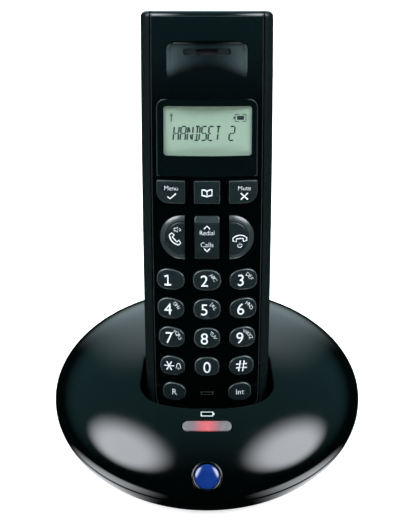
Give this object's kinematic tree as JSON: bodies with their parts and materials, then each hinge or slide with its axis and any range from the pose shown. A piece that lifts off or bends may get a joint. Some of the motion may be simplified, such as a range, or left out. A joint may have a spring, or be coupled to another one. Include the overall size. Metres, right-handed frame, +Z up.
{
  "type": "cordless phone with base",
  "caption": "Cordless telephone handset with display and keypad, standing in a round domed charging base with a lit charge bar, on four rubber feet.",
  "frame": {"origin": "centre of the round base on the surface that it stands on", "axes": "+Z up, the front of the phone faces -Y, +X to the right as seen from the front"},
  "size_m": [0.123, 0.123, 0.1585],
  "materials": {
    "gloss_black": "polished black ABS with a faint teal tint",
    "panel_black": "high gloss black front panel",
    "key_black": "satin dark key plastic",
    "window": "clear window with a black printed surround",
    "lcd": "grey-green reflective LCD",
    "rubber": "black silicone rubber",
    "board": "green solder mask",
    "speaker": "dark capsule",
    "contact": "gold plated spring contact",
    "steel": "zinc plated steel",
    "chrome": "bright trim ring",
    "battery": "printed shrink sleeve",
    "light_bar": "translucent diffuser, glows red while charging",
    "badge": "plain deep blue glass dome",
    "socket": "moulded nylon"
  },
  "bodies": {
    "base": {"base_top_cover": "gloss_black", "base_bottom_shell": "gloss_black", "charge_light_bar": "light_bar", "badge_lens": "badge", "badge_ring": "chrome", "base_circuit_board": "board", "charge_led": "light_bar", "line_socket": "socket", "power_socket": "socket", "foot_front_left": "rubber", "foot_front_right": "rubber", "foot_rear_left": "rubber", "foot_rear_right": "rubber", "base_screw_1": "steel", "base_screw_2": "steel", "base_screw_3": "steel", "base_screw_4": "steel"},
    "handset": {"handset_front_housing": "panel_black", "handset_rear_housing": "gloss_black", "display_window": "window", "lcd_module": "lcd", "keypad_membrane": "rubber", "handset_circuit_board": "board", "earpiece_speaker": "speaker", "microphone": "speaker", "ringer_speaker": "speaker", "battery_left": "battery", "battery_right": "battery", "battery_contact_lower": "contact", "battery_contact_upper": "contact", "handset_contact_left": "contact", "handset_contact_right": "contact", "handset_screw_left": "steel", "handset_screw_right": "steel"},
    "battery_cover": {"battery_cover": "gloss_black"},
    "page_button": {"page_button": "key_black"},
    "charging_pin_left": {"charging_pin_left": "contact"},
    "charging_pin_right": {"charging_pin_right": "contact"},
    "key_0": {"key_0": "key_black"},
    "key_1": {"key_1": "key_black"},
    "key_2": {"key_2": "key_black"},
    "key_3": {"key_3": "key_black"},
    "key_4": {"key_4": "key_black"},
    "key_5": {"key_5": "key_black"},
    "key_6": {"key_6": "key_black"},
    "key_7": {"key_7": "key_black"},
    "key_8": {"key_8": "key_black"},
    "key_9": {"key_9": "key_black"},
    "key_star": {"key_star": "key_black"},
    "key_hash": {"key_hash": "key_black"},
    "key_recall": {"key_recall": "key_black"},
    "key_intercom": {"key_intercom": "key_black"},
    "key_call": {"key_call": "key_black"},
    "key_end": {"key_end": "key_black"},
    "key_menu": {"key_menu": "key_black"},
    "key_phonebook": {"key_phonebook": "key_black"},
    "key_mute": {"key_mute": "key_black"},
    "key_navigation": {"key_navigation": "key_black"}
  },
  "joints": [
    {"name": "handset_lift", "type": "slide", "parent": "base", "child": "handset", "axis": [0, 0.4077, 0.9131], "range_m": [0, 0.07]},
    {"name": "battery_cover_pull", "type": "slide", "parent": "handset", "child": "battery_cover", "axis": [0, 0.9131, -0.4077], "range_m": [0, 0.012]},
    {"name": "page_button_press", "type": "slide", "parent": "base", "child": "page_button", "axis": [0, -0.4507, -0.8927], "range_m": [0, 0.0008], "stiffness_N_per_m": 300},
    {"name": "charging_pin_left_press", "type": "slide", "parent": "base", "child": "charging_pin_left", "axis": [0, -0.4077, -0.9131], "range_m": [0, 0.001], "stiffness_N_per_m": 300},
    {"name": "charging_pin_right_press", "type": "slide", "parent": "base", "child": "charging_pin_right", "axis": [0, -0.4077, -0.9131], "range_m": [0, 0.001], "stiffness_N_per_m": 300},
    {"name": "key_navigation_rock", "type": "hinge", "parent": "handset", "child": "key_navigation", "pos_m": [0, 0.00809, 0.08121], "axis": [1, 0, 0], "range_deg": [-3, 3], "stiffness_Nm_per_rad": 0.05},
    {"name": "key_0_press", "type": "slide", "parent": "handset", "child": "key_0", "axis": [0, 0.9131, -0.4077], "range_m": [0, 0.0007], "stiffness_N_per_m": 200},
    {"name": "key_1_press", "type": "slide", "parent": "handset", "child": "key_1", "axis": [0, 0.9131, -0.4077], "range_m": [0, 0.0007], "stiffness_N_per_m": 200},
    {"name": "key_2_press", "type": "slide", "parent": "handset", "child": "key_2", "axis": [0, 0.9131, -0.4077], "range_m": [0, 0.0007], "stiffness_N_per_m": 200},
    {"name": "key_3_press", "type": "slide", "parent": "handset", "child": "key_3", "axis": [0, 0.9131, -0.4077], "range_m": [0, 0.0007], "stiffness_N_per_m": 200},
    {"name": "key_4_press", "type": "slide", "parent": "handset", "child": "key_4", "axis": [0, 0.9131, -0.4077], "range_m": [0, 0.0007], "stiffness_N_per_m": 200},
    {"name": "key_5_press", "type": "slide", "parent": "handset", "child": "key_5", "axis": [0, 0.9131, -0.4077], "range_m": [0, 0.0007], "stiffness_N_per_m": 200},
    {"name": "key_6_press", "type": "slide", "parent": "handset", "child": "key_6", "axis": [0, 0.9131, -0.4077], "range_m": [0, 0.0007], "stiffness_N_per_m": 200},
    {"name": "key_7_press", "type": "slide", "parent": "handset", "child": "key_7", "axis": [0, 0.9131, -0.4077], "range_m": [0, 0.0007], "stiffness_N_per_m": 200},
    {"name": "key_8_press", "type": "slide", "parent": "handset", "child": "key_8", "axis": [0, 0.9131, -0.4077], "range_m": [0, 0.0007], "stiffness_N_per_m": 200},
    {"name": "key_9_press", "type": "slide", "parent": "handset", "child": "key_9", "axis": [0, 0.9131, -0.4077], "range_m": [0, 0.0007], "stiffness_N_per_m": 200},
    {"name": "key_star_press", "type": "slide", "parent": "handset", "child": "key_star", "axis": [0, 0.9131, -0.4077], "range_m": [0, 0.0007], "stiffness_N_per_m": 200},
    {"name": "key_hash_press", "type": "slide", "parent": "handset", "child": "key_hash", "axis": [0, 0.9131, -0.4077], "range_m": [0, 0.0007], "stiffness_N_per_m": 200},
    {"name": "key_recall_press", "type": "slide", "parent": "handset", "child": "key_recall", "axis": [0, 0.9131, -0.4077], "range_m": [0, 0.0007], "stiffness_N_per_m": 200},
    {"name": "key_intercom_press", "type": "slide", "parent": "handset", "child": "key_intercom", "axis": [0, 0.9131, -0.4077], "range_m": [0, 0.0007], "stiffness_N_per_m": 200},
    {"name": "key_call_press", "type": "slide", "parent": "handset", "child": "key_call", "axis": [0, 0.9131, -0.4077], "range_m": [0, 0.0007], "stiffness_N_per_m": 200},
    {"name": "key_end_press", "type": "slide", "parent": "handset", "child": "key_end", "axis": [0, 0.9131, -0.4077], "range_m": [0, 0.0007], "stiffness_N_per_m": 200},
    {"name": "key_menu_press", "type": "slide", "parent": "handset", "child": "key_menu", "axis": [0, 0.9131, -0.4077], "range_m": [0, 0.0007], "stiffness_N_per_m": 200},
    {"name": "key_phonebook_press", "type": "slide", "parent": "handset", "child": "key_phonebook", "axis": [0, 0.9131, -0.4077], "range_m": [0, 0.0007], "stiffness_N_per_m": 200},
    {"name": "key_mute_press", "type": "slide", "parent": "handset", "child": "key_mute", "axis": [0, 0.9131, -0.4077], "range_m": [0, 0.0007], "stiffness_N_per_m": 200}
  ]
}
